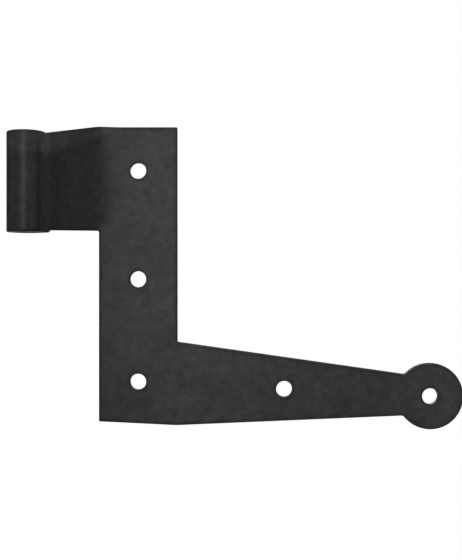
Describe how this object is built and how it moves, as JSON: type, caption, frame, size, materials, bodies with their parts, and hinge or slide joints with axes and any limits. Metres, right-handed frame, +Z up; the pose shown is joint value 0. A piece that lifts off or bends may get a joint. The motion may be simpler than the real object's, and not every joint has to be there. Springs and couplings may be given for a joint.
{
  "type": "l hinge leaf",
  "caption": "L-shaped hinge leaf of black coated steel plate, with a rolled eye on a tab bent back from its upright leg, and a tapered arm that ends in a round pad.",
  "frame": {"origin": "middle of the rolled eye's bore, on the axis that the leaf turns about", "axes": "+X from the eye along the arm, +Z up the pin axis, -Y out of the front face"},
  "size_m": [0.188, 0.0221, 0.1225],
  "materials": {
    "black_coat": "satin black powder coat"
  },
  "bodies": {
    "root": {"hinge_leaf": "black_coat"}
  },
  "joints": []
}
